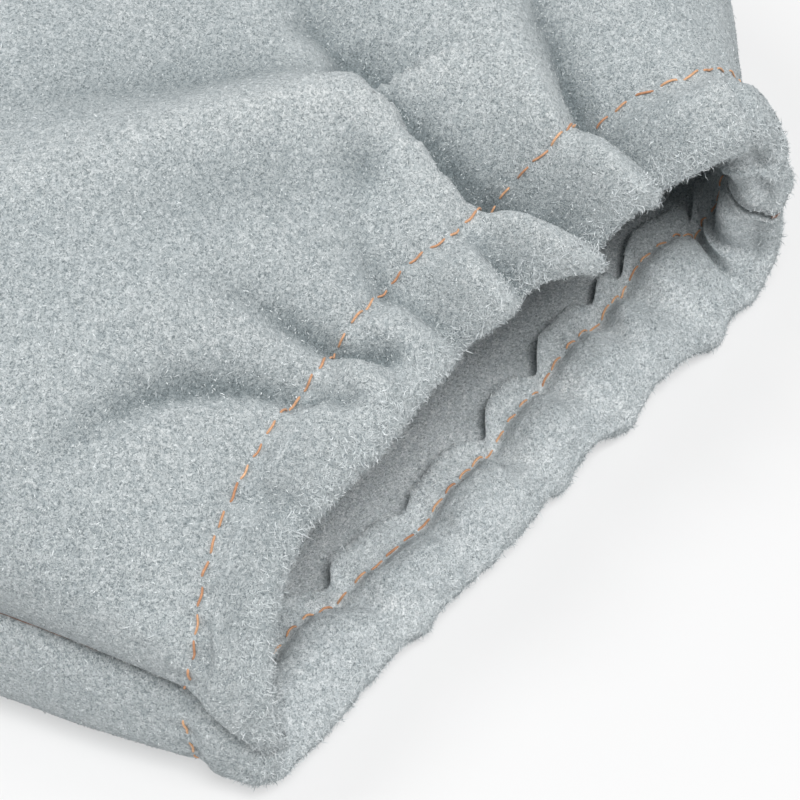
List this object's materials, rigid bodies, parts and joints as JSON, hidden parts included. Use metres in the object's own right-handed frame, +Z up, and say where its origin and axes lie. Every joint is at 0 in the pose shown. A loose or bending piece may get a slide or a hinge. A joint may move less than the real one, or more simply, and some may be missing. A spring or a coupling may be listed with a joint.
{
  "type": "leather welding sleeve with elastic cuffs",
  "caption": "Hollow suede leather arm sleeve for welding, lying flat, gathered by elastic in a stitched hem at the wrist and at the arm end.",
  "frame": {"origin": "under the middle of the sleeve, on the surface it lies on", "axes": "+Z up, +Y along the sleeve from the wrist end to the arm end, +X across it, to the right as the wrist end is looked at"},
  "size_m": [0.2, 0.4018, 0.064],
  "materials": {
    "suede": "matte napped split-cowhide suede, light grey with a blue-green tint",
    "elastic": "woven elastic tape, hidden in the hems"
  },
  "bodies": {
    "root": {"top_panel": "suede", "bottom_panel": "suede", "wrist_elastic": "elastic", "arm_elastic": "elastic"}
  },
  "joints": []
}
